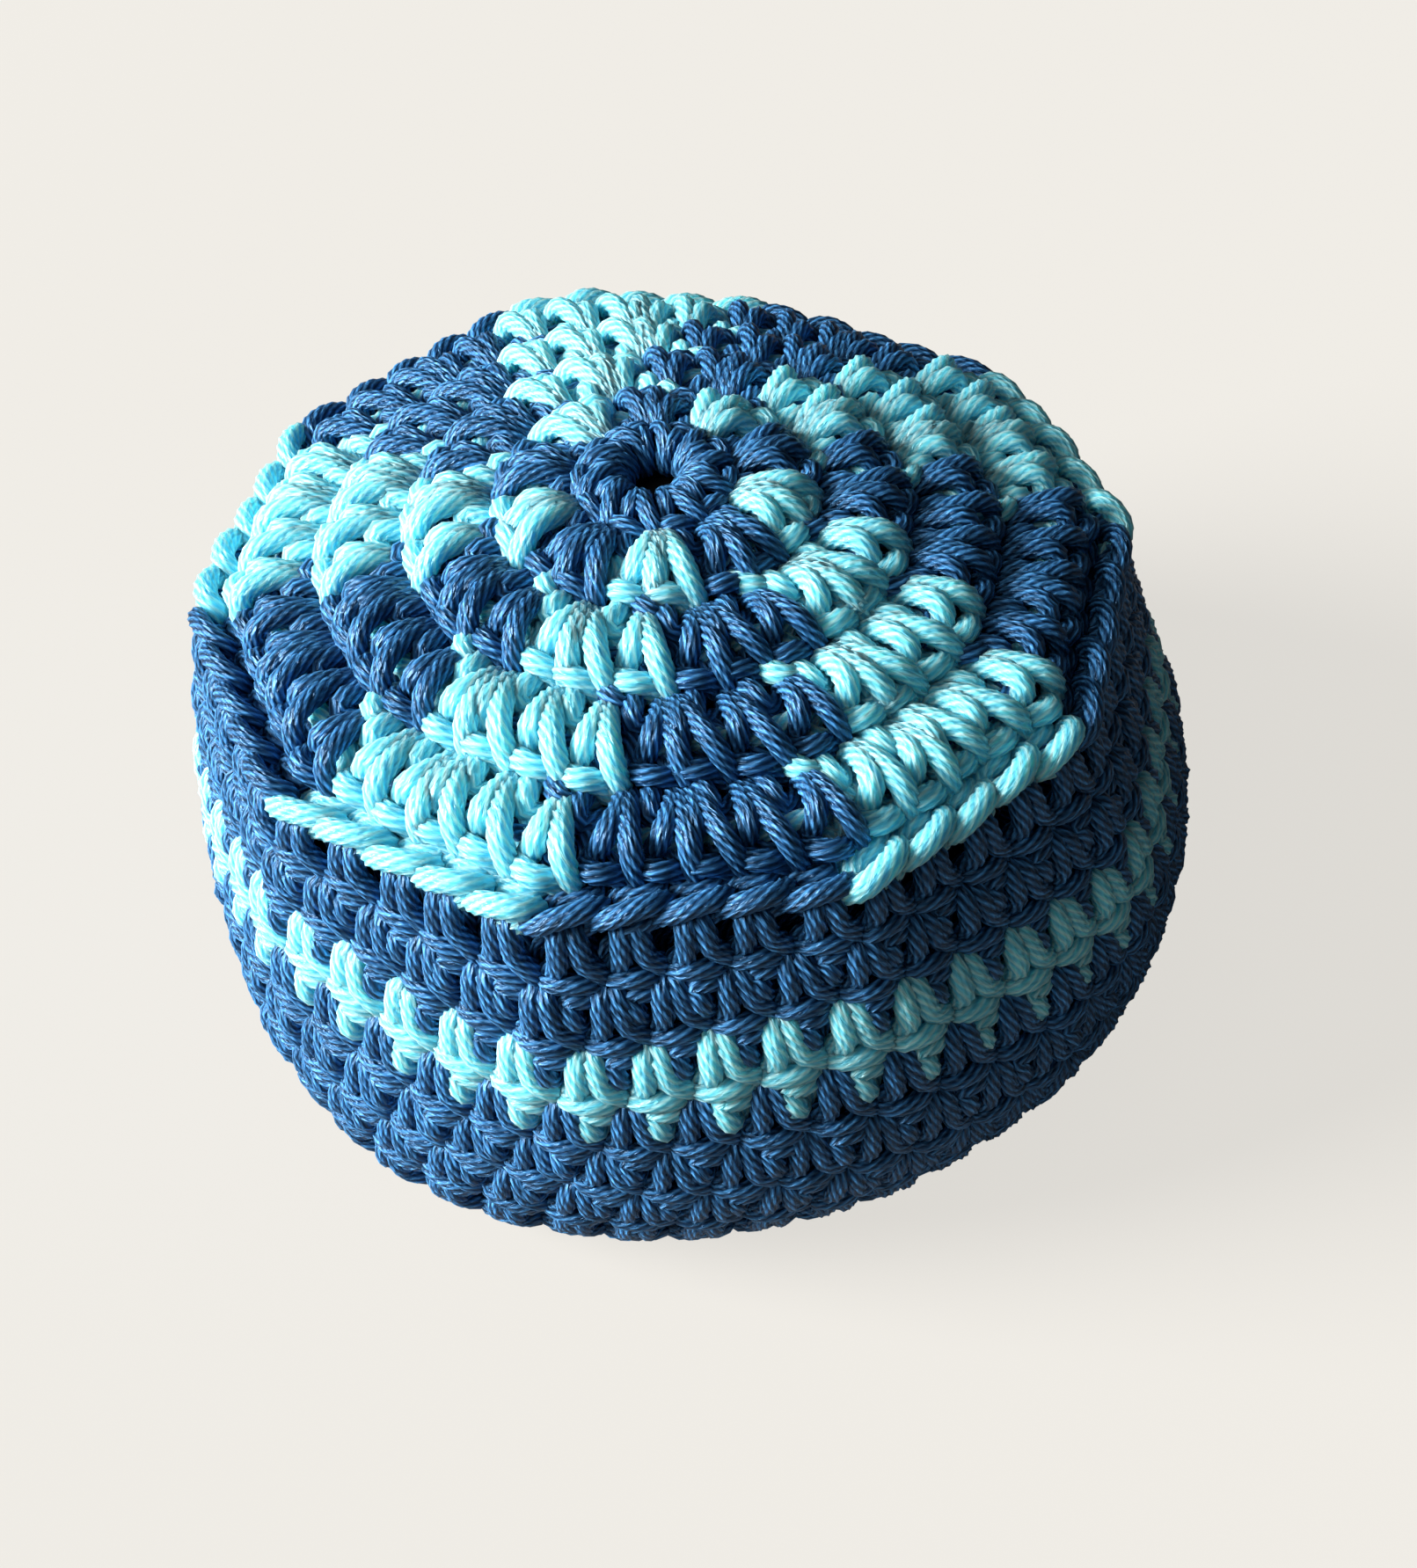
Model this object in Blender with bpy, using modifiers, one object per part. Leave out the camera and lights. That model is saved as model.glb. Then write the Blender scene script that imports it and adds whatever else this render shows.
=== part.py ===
"""A crocheted footbag: a navy and light blue cover over a tied pouch of pellets.

The cover is worked in rounds from the middle of the crown, out to a ten-sided rim,
down the side and in again underneath. Every cover piece is a strip of that fabric,
wrapped on one body shape, so all of them follow the same few sizes.
The axis of the widest round is the Z axis, and the ground is at Z = 0.
"""

import math

import bmesh
import bpy

MM = 0.001

# Body of the bag
RIM_RADIUS = 27.0 * MM
RIM_HEIGHT = 32.0 * MM
CROWN_RISE = 6.8 * MM
BELLY_RADIUS = 30.9 * MM
BELLY_HEIGHT = 12.4 * MM
SEAT_RADIUS = 17.0 * MM
# The soft bag has settled a little: rim and seat stand off the belly's axis
RIM_SHIFT_X = -1.7 * MM
RIM_SHIFT_Y = -1.0 * MM
SEAT_SHIFT_X = -3.0 * MM
SEAT_SHIFT_Y = -1.5 * MM

# Crocheted cover
COVER_THICKNESS = 2.4 * MM
LIP_HEIGHT = 1.3 * MM
ROUND_HEIGHT = 4.0 * MM
ROUND_RELIEF = 0.45 * MM
LIP_RELIEF = 0.7 * MM
ROUND_WAVE = 1.0 * MM
CENTRE_HOLE_RADIUS = 1.2 * MM
KNOT_RADIUS = 2.3 * MM
KNOT_RECESS = 0.4 * MM

# Pouch inside the cover, gathered at its neck in a pocket underneath
LINER_THICKNESS = 0.5 * MM
POCKET_RADIUS = 7.0 * MM
POCKET_HEIGHT = 6.0 * MM
NECK_RADIUS = 1.9 * MM
HEM_RADIUS = 3.4 * MM
HEM_HEIGHT = 2.6 * MM
TIE_THICKNESS = 1.0 * MM

# Pellets
PELLET_DIAMETER = 4.2 * MM
PELLET_HEIGHT = 3.4 * MM

# Clearances
SEAM_GAP = 0.3 * MM
CLEARANCE = 0.3 * MM

# Pattern of the cover: rounds are counted outwards on the crown, and down the wall
# from the lip to the edge of the flat seat
WEDGES = 10
CROWN_ROUND_COUNT = 5
WALL_ROUND_COUNT = 10
COUNT_OVER_STRIPE = 2
COUNT_OVER_BOTTOM = 7
SWIRL = math.radians(22.0)
WAVE_PHASE = math.radians(-36.0)
WAVES = 5

# Fineness of the meshes
WEDGE_COLUMNS = 4
BAND_COLUMNS = 40
INNER_COLUMNS = 20

# Heights of the crown, and swelling of the side, at the four points of a cubic curve
CROWN_RISE_SHARES = (1.0, 0.97, 0.5, 0.0)
SIDE_SWELL_SHARES = (0.0, 0.2, 1.0, 1.0)
# How much of a true polygon's flat sides the rim has
RIM_FLATNESS_SHARE = 0.9

# Sections of the body, counted from the middle of the crown to the middle of the seat
CROWN, SIDE, UNDER, SEAT = range(4)

NAVY = (0.035, 0.11, 0.24)
LIGHT_BLUE = (0.33, 0.74, 0.83)
POUCH_BLACK = (0.020, 0.017, 0.019)
CORD_WHITE = (0.80, 0.78, 0.72)
PELLET_WHITE = (0.86, 0.87, 0.86)


def cubic(share, values):
    """A cubic curve through values[0] and values[3], pulled towards the middle two."""
    rest = 1.0 - share
    return (
        values[0] * rest**3
        + 3.0 * values[1] * rest**2 * share
        + 3.0 * values[2] * rest * share**2
        + values[3] * share**3
    )


def outline(place, depth):
    """Radius and height of the body at a place from 0 to 4, at a depth inside its skin."""
    section = min(int(place), SEAT)
    share = place - section
    rim_radius = RIM_RADIUS - depth
    rim_height = RIM_HEIGHT - depth
    belly_radius = BELLY_RADIUS - depth
    if section == CROWN:
        return rim_radius * share, rim_height + CROWN_RISE * cubic(share, CROWN_RISE_SHARES)
    if section == SIDE:
        swell = (belly_radius - rim_radius) * cubic(share, SIDE_SWELL_SHARES)
        return rim_radius + swell, rim_height + (BELLY_HEIGHT - rim_height) * share
    if section == UNDER:
        turn = share * math.pi / 2
        radius = SEAT_RADIUS + (belly_radius - SEAT_RADIUS) * math.cos(turn)
        return radius, BELLY_HEIGHT - (BELLY_HEIGHT - depth) * math.sin(turn)
    return SEAT_RADIUS * (1.0 - share), depth


def flatness(place):
    """How ten-sided the body is: round at the crown's middle and from the belly down."""
    if place < SIDE:
        return RIM_FLATNESS_SHARE * place**2
    return RIM_FLATNESS_SHARE * max(0.0, UNDER - place)


def shift(place):
    """Where the axis of the settled body is at a place."""
    if place < SIDE:
        return RIM_SHIFT_X, RIM_SHIFT_Y
    if place < UNDER:
        rest = UNDER - place
        ease = rest * rest * (3.0 - 2.0 * rest)
        return RIM_SHIFT_X * ease, RIM_SHIFT_Y * ease
    down = min(1.0, place - UNDER)
    ease = down * down * (3.0 - 2.0 * down)
    return SEAT_SHIFT_X * ease, SEAT_SHIFT_Y * ease


def turned(angle, radius, height, place):
    """A point at a radius and height, on the settled body's axis and its ten sides."""
    half_wedge = math.pi / WEDGES
    off_middle = angle % (2.0 * half_wedge) - half_wedge
    flat_side = math.cos(half_wedge) / math.cos(off_middle)
    radius *= 1.0 - flatness(place) * (1.0 - flat_side)
    shift_x, shift_y = shift(place)
    return radius * math.cos(angle) + shift_x, radius * math.sin(angle) + shift_y, height


def on_body(angle, place, depth):
    """A point of the body, with the wave that the light edges press into the side."""
    if SIDE < place < UNDER:
        side_length = RIM_HEIGHT - BELLY_HEIGHT
        wave = ROUND_WAVE * math.cos(WAVES * (angle - WAVE_PHASE)) / side_length
        place += wave * math.sin(math.pi * (place - SIDE))
    radius, height = outline(place, depth)
    return turned(angle, radius, height, place)


def rounds_to_belly():
    """How many rounds of the wall lie between the lip and the widest place."""
    return (RIM_HEIGHT - LIP_HEIGHT - BELLY_HEIGHT) / ROUND_HEIGHT


def wall_place(rounds):
    """The place that a number of the wall's rounds reaches, counted from the lip."""
    to_belly = rounds_to_belly()
    if rounds <= to_belly:
        drop = LIP_HEIGHT + rounds * ROUND_HEIGHT
        return SIDE + drop / (RIM_HEIGHT - BELLY_HEIGHT)
    return UNDER + (rounds - to_belly) / (WALL_ROUND_COUNT - to_belly)


def wall_rounds(place):
    """How many of the wall's rounds lie above a place."""
    to_belly = rounds_to_belly()
    if place <= UNDER:
        drop = (place - SIDE) * (RIM_HEIGHT - BELLY_HEIGHT)
        return max(0.0, (drop - LIP_HEIGHT) / ROUND_HEIGHT)
    return to_belly + (place - UNDER) * (WALL_ROUND_COUNT - to_belly)


def relief(place):
    """How far the skin stands out: a bulge on each round, and a lip along the rim."""
    if place < SIDE:
        rounds = place * CROWN_ROUND_COUNT
        lip = max(0.0, 2.0 * (rounds - CROWN_ROUND_COUNT) + 1.0)
        return ROUND_RELIEF * math.sin(math.pi * rounds) ** 2 + LIP_RELIEF * lip
    if place < SEAT:
        return ROUND_RELIEF * math.sin(math.pi * wall_rounds(place)) ** 2
    return 0.0


def new_object(name, mesh, colour, roughness):
    """Put a mesh in the scene under its name, with its own plain material."""
    material = bpy.data.materials.new(name)
    material.use_nodes = True
    shader = material.node_tree.nodes["Principled BSDF"]
    shader.inputs["Base Color"].default_value = (*colour, 1.0)
    shader.inputs["Roughness"].default_value = roughness
    shader.inputs["Metallic"].default_value = 0.0
    mesh.materials.clear()
    mesh.materials.append(material)
    mesh.shade_smooth()
    piece = bpy.data.objects.new(name, mesh)
    footbag.objects.link(piece)
    return piece


def sheet(columns, rows):
    """A flat grid of one unit square, from the corner at zero."""
    grid = bmesh.new()
    bmesh.ops.create_grid(grid, x_segments=columns, y_segments=rows, size=0.5)
    bmesh.ops.translate(grid, verts=grid.verts, vec=(0.5, 0.5, 0.0))
    return grid


def finish(grid, name, colour, roughness=0.7):
    """Close the seams of a wrapped grid and make it an object."""
    bmesh.ops.remove_doubles(grid, verts=grid.verts, dist=SEAM_GAP / 100)
    bmesh.ops.recalc_face_normals(grid, faces=grid.faces)
    mesh = bpy.data.meshes.new(name)
    grid.to_mesh(mesh)
    grid.free()
    return new_object(name, mesh, colour, roughness)


def cover_strip(name, columns, places, angle_at, colour, ring):
    """A strip of the cover between two places, with the cover's thickness.

    angle_at gives the angle for a share across the strip and a place. A ring's
    ends meet, so it has no end walls.
    """
    rows = len(places) - 1
    grid = sheet(columns, rows)
    skin = grid.faces[:]
    walls = bmesh.ops.extrude_face_region(grid, geom=skin)
    inner = [item for item in walls["geom"] if isinstance(item, bmesh.types.BMVert)]
    bmesh.ops.translate(grid, verts=inner, vec=(0.0, 0.0, 1.0))
    if ring:
        ends = [
            face
            for face in grid.faces
            if abs(face.calc_center_median().x - 0.5) > 0.5 - 0.1 / columns
        ]
        bmesh.ops.delete(grid, geom=ends, context="FACES_ONLY")
    for vertex in grid.verts:
        place = places[round(vertex.co.y * rows)]
        depth = COVER_THICKNESS if vertex.co.z > 0.5 else -relief(place)
        vertex.co = on_body(angle_at(vertex.co.x, place), place, depth)
    return finish(grid, name, colour)


def steps(first, last, count):
    """Evenly spaced places from first to last."""
    return [first + (last - first) * index / count for index in range(count + 1)]


def full_turn(share, _place):
    return 2.0 * math.pi * share


def wedge_angles(number):
    """Angles across one wedge, whose edges swirl as spirals and keep clear of the next."""
    first = 2.0 * math.pi * number / WEDGES
    last = 2.0 * math.pi * (number + 1) / WEDGES

    def angle_at(share, place):
        swirl = SWIRL * math.log(1.0 / place)
        clear = SEAM_GAP / 2 / (RIM_RADIUS * place)
        return swirl + first + clear + (last - first - 2.0 * clear) * share

    return angle_at


def make_crown():
    """The ring that the rounds start from, and the ten wedges round it."""
    gap = SEAM_GAP / 2 / RIM_RADIUS
    first_round = 1.0 / CROWN_ROUND_COUNT
    ring_places = steps(CENTRE_HOLE_RADIUS / RIM_RADIUS, first_round - gap, 3)
    cover_strip("top_centre_ring", INNER_COLUMNS, ring_places, full_turn, NAVY, True)
    wedge_places = steps(first_round + gap, 1.0 - 2.0 * gap, 3 * (CROWN_ROUND_COUNT - 1))
    for number in range(WEDGES):
        light = number % 2 == 0
        name = f"{'light' if light else 'navy'}_wedge_{number // 2 + 1}"
        colour = LIGHT_BLUE if light else NAVY
        angle_at = wedge_angles(number)
        cover_strip(name, WEDGE_COLUMNS, wedge_places, angle_at, colour, False)


def wall_steps(first, last, count):
    """Places from one round of the wall to another, clear of the neighbours' seams."""
    gap = SEAM_GAP / 2 / (RIM_HEIGHT - BELLY_HEIGHT)
    places = [wall_place(rounds) for rounds in steps(first, last, count)]
    places[0] += gap
    if last < WALL_ROUND_COUNT:
        places[-1] -= gap
    return places


def make_side():
    """The navy rounds under the rim, the light stripe, and the navy rounds below it."""
    under_lip = SIDE + SEAM_GAP / (RIM_HEIGHT - BELLY_HEIGHT)
    under_stripe = COUNT_OVER_STRIPE + 1
    upper = [under_lip] + wall_steps(0, COUNT_OVER_STRIPE, 2 * COUNT_OVER_STRIPE)
    stripe = wall_steps(COUNT_OVER_STRIPE, under_stripe, 4)
    lower_count = COUNT_OVER_BOTTOM - under_stripe
    lower = wall_steps(under_stripe, COUNT_OVER_BOTTOM, 2 * lower_count)
    cover_strip("side_upper_band", BAND_COLUMNS, upper, full_turn, NAVY, True)
    cover_strip("side_stripe", BAND_COLUMNS, stripe, full_turn, LIGHT_BLUE, True)
    cover_strip("side_lower_band", BAND_COLUMNS, lower, full_turn, NAVY, True)


def make_bottom():
    """The decreasing rounds underneath, flat where the bag rests, and the closing knot."""
    rounds_left = WALL_ROUND_COUNT - COUNT_OVER_BOTTOM
    knot_hole = KNOT_RADIUS + CLEARANCE
    rounded = wall_steps(COUNT_OVER_BOTTOM, WALL_ROUND_COUNT, 2 * rounds_left)
    flat = steps(SEAT, SEAT + 1.0 - knot_hole / SEAT_RADIUS, 2)
    cover_strip("bottom_panel", BAND_COLUMNS, rounded + flat[1:], full_turn, NAVY, True)

    knot = bmesh.new()
    bmesh.ops.create_uvsphere(knot, u_segments=12, v_segments=6, radius=KNOT_RADIUS)
    thickness = COVER_THICKNESS - KNOT_RECESS
    bmesh.ops.scale(knot, verts=knot.verts, vec=(1.0, 1.0, thickness / 2 / KNOT_RADIUS))
    middle = (SEAT_SHIFT_X, SEAT_SHIFT_Y, KNOT_RECESS + thickness / 2)
    bmesh.ops.translate(knot, verts=knot.verts, vec=middle)
    finish(knot, "closing_knot", NAVY)


def pocket_outline(depth, roof):
    """Quarter ellipse from the seat up over the pocket that the tied neck lies in."""
    points = []
    edge = POCKET_RADIUS + depth - COVER_THICKNESS - CLEARANCE
    for share in steps(0.0, 1.0, 4):
        turn = share * math.pi / 2
        radius = NECK_RADIUS + (edge - NECK_RADIUS) * math.cos(turn)
        points.append((radius, depth + (roof - depth) * math.sin(turn)))
    return points


def inner_form(columns, depth, flat_top, ending):
    """A skin at a depth inside the cover, from the crown's middle to the ending points."""
    pocket_edge = ending[0][0]
    places = steps(0.0, SIDE, 5) + steps(SIDE, UNDER, 5)[1:] + steps(UNDER, SEAT, 5)[1:]
    places.append(SEAT + (1.0 - pocket_edge / SEAT_RADIUS) / 2)
    rows = len(places) + len(ending) - 1
    grid = sheet(columns, rows)
    for vertex in grid.verts:
        angle = 2.0 * math.pi * vertex.co.x
        row = round(vertex.co.y * rows)
        if row < len(places):
            place = places[row]
            radius, height = outline(place, depth)
            if flat_top and place < SIDE:
                height = RIM_HEIGHT - depth
            vertex.co = turned(angle, radius, height, place)
        else:
            radius, height = ending[row - len(places)]
            vertex.co = turned(angle, radius, height, SEAT)
    return grid


def make_liner():
    """The pouch: a thin bag drawn into a neck, and the cord tied round the neck."""
    depth = COVER_THICKNESS + CLEARANCE
    roof = depth + POCKET_HEIGHT
    ending = pocket_outline(depth, roof)
    ending.append((NECK_RADIUS, depth + HEM_HEIGHT))
    ending.append((HEM_RADIUS, depth))
    grid = inner_form(INNER_COLUMNS, depth, False, ending)
    liner = finish(grid, "liner_pouch", POUCH_BLACK, 0.9)
    wall = liner.modifiers.new("wall", "SOLIDIFY")
    wall.thickness = LINER_THICKNESS
    wall.offset = -1.0
    wall.use_even_offset = True

    tie_radius = NECK_RADIUS + CLEARANCE + TIE_THICKNESS / 2
    tie_height = depth + (HEM_HEIGHT + POCKET_HEIGHT) / 2
    bpy.ops.mesh.primitive_torus_add(
        location=(SEAT_SHIFT_X, SEAT_SHIFT_Y, tie_height),
        major_segments=16,
        minor_segments=8,
        major_radius=tie_radius,
        minor_radius=TIE_THICKNESS / 2,
    )
    torus = bpy.context.active_object
    tie = new_object("liner_tie", torus.data.copy(), CORD_WHITE, 0.8)
    tie.location = torus.location
    bpy.data.objects.remove(torus)


def make_pellets():
    """The packed pellets as one body, and a loose layer of them on its level top."""
    depth = COVER_THICKNESS + LINER_THICKNESS + 2.0 * CLEARANCE
    roof = COVER_THICKNESS + POCKET_HEIGHT + LINER_THICKNESS + 2.0 * CLEARANCE
    ending = pocket_outline(depth, roof)
    ending.append((0.0, roof))
    finish(inner_form(INNER_COLUMNS, depth, True, ending), "pellet_fill", PELLET_WHITE, 0.4)

    pellet = bmesh.new()
    bmesh.ops.create_uvsphere(pellet, u_segments=8, v_segments=5, radius=PELLET_DIAMETER / 2)
    squash = PELLET_HEIGHT / PELLET_DIAMETER
    bmesh.ops.scale(pellet, verts=pellet.verts, vec=(1.0, 1.0, squash))
    shape = bpy.data.meshes.new("pellet")
    pellet.to_mesh(shape)
    pellet.free()
    pitch = PELLET_DIAMETER + CLEARANCE
    height = RIM_HEIGHT - depth + CLEARANCE + PELLET_HEIGHT / 2
    places = [(0.0, 0.0)]
    for ring in (1, 2):
        for side in range(6):
            corner = math.radians(60.0 * side)
            along = math.radians(60.0 * side + 120.0)
            for step in range(ring):
                x = pitch * (ring * math.cos(corner) + step * math.cos(along))
                y = pitch * (ring * math.sin(corner) + step * math.sin(along))
                places.append((x, y))
    for number, (x, y) in enumerate(places, 1):
        one = new_object(f"loose_pellet_{number:02d}", shape.copy(), PELLET_WHITE, 0.4)
        one.location = (RIM_SHIFT_X + x, RIM_SHIFT_Y + y, height)


for leftover in list(bpy.data.objects):
    bpy.data.objects.remove(leftover)
footbag = bpy.data.collections.new("footbag")
bpy.context.scene.collection.children.link(footbag)

make_crown()
make_side()
make_bottom()
make_liner()
make_pellets()
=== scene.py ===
"""A crocheted footbag: its cover worked stitch by stitch, with its pouch and pellets.

It is laid out as a Blender add-on and run as a script. Lengths are in metres, +Z is up
and the front faces -Y. The body's outline repeats the one that its solids are made from.
"""

import math
import random
from functools import partial

import bmesh
import bpy
from bpy.props import FloatProperty, FloatVectorProperty, IntProperty, PointerProperty
from mathutils import Matrix, Vector


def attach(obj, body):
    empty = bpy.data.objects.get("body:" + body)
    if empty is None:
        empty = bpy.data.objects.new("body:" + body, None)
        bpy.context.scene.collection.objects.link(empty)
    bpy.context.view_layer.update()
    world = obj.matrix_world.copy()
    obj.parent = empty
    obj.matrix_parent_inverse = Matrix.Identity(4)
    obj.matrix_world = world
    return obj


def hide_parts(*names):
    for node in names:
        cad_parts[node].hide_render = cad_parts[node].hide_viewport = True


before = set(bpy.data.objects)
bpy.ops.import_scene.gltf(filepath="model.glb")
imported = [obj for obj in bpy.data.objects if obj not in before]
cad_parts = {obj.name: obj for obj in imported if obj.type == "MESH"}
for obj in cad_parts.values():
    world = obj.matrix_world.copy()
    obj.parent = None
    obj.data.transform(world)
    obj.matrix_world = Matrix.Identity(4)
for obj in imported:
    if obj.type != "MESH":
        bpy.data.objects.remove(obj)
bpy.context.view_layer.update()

bl_info = {
    "name": "Crocheted Footbag",
    "version": (1, 0, 0),
    "blender": (4, 5, 0),
    "location": "3D View > Sidebar > Footbag",
    "description": "Works a two-colour crocheted footbag stitch by stitch",
    "category": "Add Mesh",
}

MM = 0.001

# The body's sections. A place runs from 0 at the crown's middle to 4 at the seat's.
CROWN, SIDE, UNDER, SEAT = range(4)
CROWN_RISE_SHARES = (1.0, 0.97, 0.5, 0.0)
SIDE_SWELL_SHARES = (0.0, 0.2, 1.0, 1.0)
# Where the settled bag swells or falls in: angle and its spread in degrees, place and its
# spread, and how far.
SWELLINGS = (
    (-132.0, 28.0, 2.45, 0.35, 1.3 * MM),
    (-10.0, 24.0, 1.9, 0.4, -0.8 * MM),
    (190.0, 20.0, 1.6, 0.35, 0.5 * MM),
    (62.0, 22.0, 1.05, 0.25, -0.6 * MM),
    (98.0, 10.0, 1.05, 0.25, 0.6 * MM),
)

WEDGES = 10
CROWN_ROUNDS = 5
# How many stitches each round has, from the rim down and then over the seat, and how far
# a round of the seat reaches.
WALL_COUNTS = (50, 50, 50, 50, 50, 50, 48, 43, 37, 30)
SEAT_COUNTS = (24, 17, 11, 6)
SEAT_ROUND = 0.212
# The underside's panel starts with this round of the wall.
UNDERSIDE_FROM = 8

# The hole that the work starts from, and how far its loose ends pull it to the back.
HOLE_RADIUS = 2.3 * MM
HOLE_SHIFT = 1.2 * MM
# In pitches: how far the first round's stitches lean, and how far to each side of its
# middle two that share a base stand.
FIRST_LEAN = 0.12
SHARED_LEAN = 0.2
# How far the crown's rounds bulge, in millimetres, and how high up a round its top is.
FIRST_BULGE = 0.2
ROUND_BULGE = 0.45
BULGE_TOP = 0.3
# How far stitches of even work differ: in pitches, in heights and in millimetres outwards.
UNEVEN_ALONG = 0.025
UNEVEN_UP = 0.018
UNEVEN_OUT = 0.05
# From this round of the wall down, the bag's weight flattens the stitches to a share of
# their relief, and presses the lowest ones in.
FLATTER_FROM = 5
FLATTER = 0.8
PRESSED_IN = 0.36 * MM
# The light yarn is spun looser, and fills its stitches more.
LIGHT_FULLNESS = 1.13
# Where in a stitch the yarn that is not in use is carried.
CARRY_UP = 0.32
CARRY_OUT = -0.20

# How far the floor reaches to each side: it ends before the foot of the side light.
FLOOR_REACH = 0.4

# Stitches are drawn as points along the yarn: stitches along the round, in the direction
# of work, heights of the round towards its head, and millimetres out of the cover's core.
CORE_DEPTH = 1.15 * MM
HALF_DOUBLE_LEGS = (
    (-0.1, 0.1, -0.85), (-0.07, -0.12, -0.4), (-0.07, -0.13, 0.4), (-0.08, -0.01, 0.88),
    (-0.13, 0.13, 0.98), (-0.19, 0.26, 0.88), (-0.24, 0.37, 0.45), (-0.36, 0.46, 0.05),
    (-0.42, 0.57, 0.45), (-0.29, 0.63, 0.98), (-0.06, 0.65, 1.0), (0.14, 0.67, 0.6),
    (0.32, 0.78, 0.0), (0.48, 0.75, 0.25), (0.44, 0.62, 0.88), (0.31, 0.38, 1.05),
    (0.13, 0.06, 0.98), (0.07, -0.12, 0.4), (0.07, -0.13, -0.4), (0.1, 0.08, -0.85),
    (0.08, 0.4, -0.95), (0.05, 0.75, -0.85),
)
HALF_DOUBLE_HEAD = (
    (-0.12, 0.78, 0.4), (-0.13, 0.88, 0.82), (-0.12, 1.0, 0.88), (-0.08, 1.09, 0.4),
    (0.1, 1.08, -0.1), (0.4, 1.0, -0.4), (0.66, 0.88, -0.35), (0.82, 0.9, -0.35),
    (0.9, 0.86, -0.5), (0.55, 0.8, -0.55), (0.05, 0.5, -0.32), (0.0, 0.26, -0.38),
    (0.35, 0.1, -0.5), (0.62, 0.28, -0.32), (0.66, 0.55, -0.32), (0.85, 0.35, -0.55),
)
SINGLE_LEGS = (
    (-0.1, 0.1, -0.9), (-0.08, -0.12, -0.45), (-0.09, -0.15, 0.35), (-0.12, -0.04, 0.88),
    (-0.15, 0.14, 1.02), (-0.16, 0.34, 1.06), (-0.2, 0.5, 0.9), (-0.36, 0.56, 0.4),
    (-0.47, 0.66, 0.4), (-0.34, 0.73, 0.85), (-0.1, 0.75, 1.0), (0.14, 0.77, 0.88),
    (0.32, 0.83, 0.4), (0.45, 0.73, 0.4), (0.37, 0.59, 0.8), (0.19, 0.44, 1.04),
    (0.16, 0.24, 1.06), (0.12, 0.02, 0.95), (0.08, -0.13, 0.45), (0.06, -0.13, -0.4),
    (0.1, 0.08, -0.9), (0.2, 0.5, -0.9), (0.4, 0.9, -0.6),
)
# In the stripe the yarn fills the stitch between its legs before it goes on.
FILLED_LEGS = SINGLE_LEGS[:-3] + (
    (0.1, 0.0, -0.7), (0.04, 0.22, 0.1), (0.02, 0.42, 0.5), (0.03, 0.58, 0.2),
    (0.2, 0.76, -0.5), (0.4, 0.9, -0.6),
)
SINGLE_HEAD = (
    (0.34, 0.98, 0.1), (0.14, 1.0, 0.7), (-0.08, 0.99, 0.85), (-0.2, 1.04, 0.7),
    (-0.14, 1.14, 0.95), (-0.1, 1.28, 1.05), (-0.07, 1.41, 0.6), (0.05, 1.38, -0.1),
    (0.35, 1.16, -0.35), (0.6, 1.04, -0.3), (0.8, 1.02, -0.3), (1.0, 0.95, -0.45),
    (0.6, 1.06, -0.7), (0.15, 1.0, -0.85), (0.3, 0.6, -0.95), (0.45, 0.3, -0.95),
)
# The last crown round's front strands lie free along the rim, as a braid. Then the yarn
# goes on as in the other rounds.
RIM_HEAD = (
    (-0.12, 0.92, -0.6), (-0.24, 1.05, -0.6), (-0.14, 1.11, 0.1), (0.06, 1.12, 0.78),
    (0.33, 1.08, 1.08), (0.61, 1.03, 1.13), (0.88, 0.99, 0.97), (1.04, 0.97, 0.5),
    (1.02, 1.03, 0.0), (0.86, 1.14, 0.2), (0.58, 1.21, 0.3), (0.28, 1.2, 0.15),
    (0.12, 1.02, -0.4), (0.36, 0.88, 0.15), (0.66, 0.88, 0.28), (0.92, 0.86, 0.1),
    (0.7, 0.7, -0.3),
) + HALF_DOUBLE_HEAD[-6:]
# Where the yarn changes, the new one first shows as a small loop behind the last stitch.
NEW_YARN_LOOP = (
    (-0.42, 0.5, -0.5), (-0.6, 0.62, 0.3), (-0.58, 0.76, 0.95), (-0.4, 0.86, 1.0),
    (-0.24, 0.84, 0.2),
)


def linear(hex_colour):
    """A hex colour as the linear values that a shader works in."""
    channels = [int(hex_colour[index : index + 2], 16) / 255 for index in (1, 3, 5)]
    return [
        channel / 12.92 if channel <= 0.04045 else ((channel + 0.055) / 1.055) ** 2.4
        for channel in channels
    ]


def amount(name, description, default, kind=FloatProperty, **limits):
    """A number, or several together, that a user may change."""
    return kind(name=name, description=description, default=default, **limits)


def length(name, description, default):
    """A size that a user may change."""
    return amount(name, description, default, min=0.0, unit="LENGTH", precision=5)


def bearing(name, description, degrees):
    """An angle that a user may change."""
    return amount(name, description, math.radians(degrees), subtype="ANGLE")


def offset(name, description, default):
    """A place, or a shift to the right and to the back, that a user may change."""
    limits = {"size": len(default), "unit": "LENGTH", "precision": 5}
    return amount(name, description, default, FloatVectorProperty, **limits)


def colour(name, description, hex_colour):
    """A colour that a user may change."""
    limits = {"min": 0.0, "max": 1.0, "subtype": "COLOR"}
    return amount(name, description, linear(hex_colour), FloatVectorProperty, **limits)


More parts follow.
